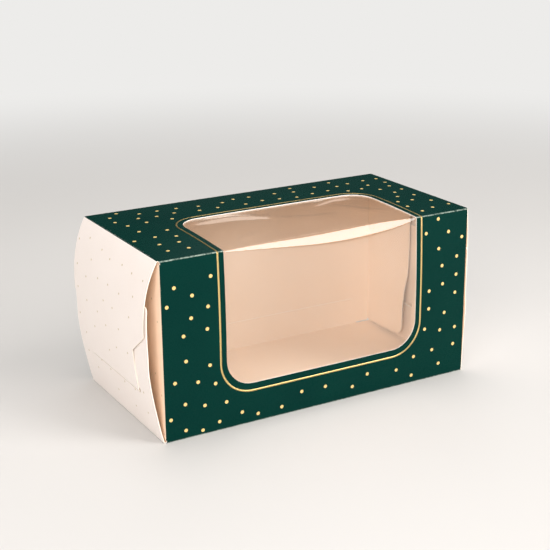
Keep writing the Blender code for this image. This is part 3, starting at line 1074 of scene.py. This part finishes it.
view = {
    "place": (-0.3845, -0.6695, 0.3270),
    "lens": 80.0,
    "sensor": 36.0,
    "heading": -29.72,  # degrees from +Y towards +X
    "down": 18.30,
    "roll": -0.48,
}


def seenRays(tree):
    # 1 for rays that show the background itself: camera and transmission rays
    seen = addNode(tree, "ShaderNodeLightPath").outputs
    return addNode(tree, "ShaderNodeMath",
            {0: seen["Is Camera Ray"], 1: seen["Is Transmission Ray"]}, operation="MAXIMUM")


def buildFloor():
    material, tree, shader = newMaterial("matPaleStudioFloor")
    place = addNode(tree, "ShaderNodeTexCoord").outputs["Object"]
    cloud = addNode(tree, "ShaderNodeTexNoise", {"Vector": place, "Scale": 3.0})
    color = addNode(tree, "ShaderNodeMix",
            {0: cloud, 6: studio["floorColor"], 7: studio["floorCloud"]}, data_type="RGBA")
    setInputs(tree, shader, {"Base Color": color.outputs[2], "Roughness": 0.6,
            "Specular IOR Level": 0.2})
    # past the object's shadow the floor turns into an even pale backdrop
    away = addNode(tree, "ShaderNodeVectorMath", {0: place}, operation="LENGTH")
    far = addNode(tree, "ShaderNodeMapRange",
            {"Value": away.outputs["Value"], "From Min": studio["backdropFrom"],
             "From Max": studio["backdropFull"]}, interpolation_type="SMOOTHSTEP")
    share = addNode(tree, "ShaderNodeMath", {0: far, 1: seenRays(tree)}, operation="MULTIPLY")
    even = addNode(tree, "ShaderNodeEmission", {"Color": studio["backdropColor"]})
    blend = addNode(tree, "ShaderNodeMixShader", {0: share, 1: shader, 2: even})
    setInputs(tree, tree.nodes["Material Output"], {"Surface": blend})
    half = studio["floorHalf"]
    mesh = bpy.data.meshes.new("studioFloor")
    mesh.from_pydata([(-half, -half, 0), (half, -half, 0), (half, half, 0), (-half, half, 0)],
            [], [(0, 1, 2, 3)])
    mesh.materials.append(material)
    addObject("studio_floor", mesh)


def buildWorld():
    world = bpy.data.worlds.new("studioWorld")
    bpy.context.scene.world = world
    world.use_nodes = True
    tree = world.node_tree
    # gloss mirrors a room that is paler low down and dark overhead
    upward = addNode(tree, "ShaderNodeSeparateXYZ",
            {"Vector": addNode(tree, "ShaderNodeTexCoord").outputs["Generated"]})
    room = addNode(tree, "ShaderNodeMapRange",
            {"Value": upward.outputs["Z"], "From Min": studio["roomLow"],
             "From Max": studio["roomHigh"], "To Min": studio["horizon"],
             "To Max": studio["ceiling"]}, interpolation_type="SMOOTHSTEP")
    glossy = addNode(tree, "ShaderNodeLightPath").outputs["Is Glossy Ray"]
    unseen = addNode(tree, "ShaderNodeMapRange",
            {"Value": glossy, "To Min": studio["worldLight"], "To Max": room})
    power = addNode(tree, "ShaderNodeMapRange", {"Value": seenRays(tree), "To Min": unseen,
            "To Max": studio["backdropLight"]})
    setInputs(tree, tree.nodes["Background"], {"Color": studio["worldColor"], "Strength": power})


def buildLamps():
    for name, (place, size, watts, color) in studio["lamps"].items():
        lamp = bpy.data.lights.new(name, "AREA")
        lamp.shape = "RECTANGLE"
        lamp.size, lamp.size_y = size
        lamp.energy = watts
        lamp.color = hexToLinear(color)[:3]
        holder = addObject(name, lamp)
        holder.location = place
        aim = Vector(studio["lookAt"]) - Vector(place)
        holder.rotation_euler = aim.to_track_quat("-Z", "Y").to_euler()


def buildCamera():
    heading, down, roll = (radians(view[k]) for k in ("heading", "down", "roll"))
    forward = Vector((-sin(heading) * cos(down), cos(heading) * cos(down), -sin(down)))
    right = Vector((cos(heading), sin(heading), 0))
    up = right.cross(forward)
    rolledRight = right * cos(roll) + up * sin(roll)
    rolledUp = up * cos(roll) - right * sin(roll)
    data = bpy.data.cameras.new("photoView")
    data.lens = view["lens"]
    data.sensor_width = view["sensor"]
    camera = addObject("photoView", data)
    camera.matrix_world = Matrix.Translation(view["place"]) @ Matrix(
        (rolledRight, rolledUp, -forward)).transposed().to_4x4()
    bpy.context.scene.camera = camera


buildFloor()
buildWorld()
buildLamps()
buildCamera()
bpy.context.scene.view_settings.view_transform = "Standard"
print("studio ready")
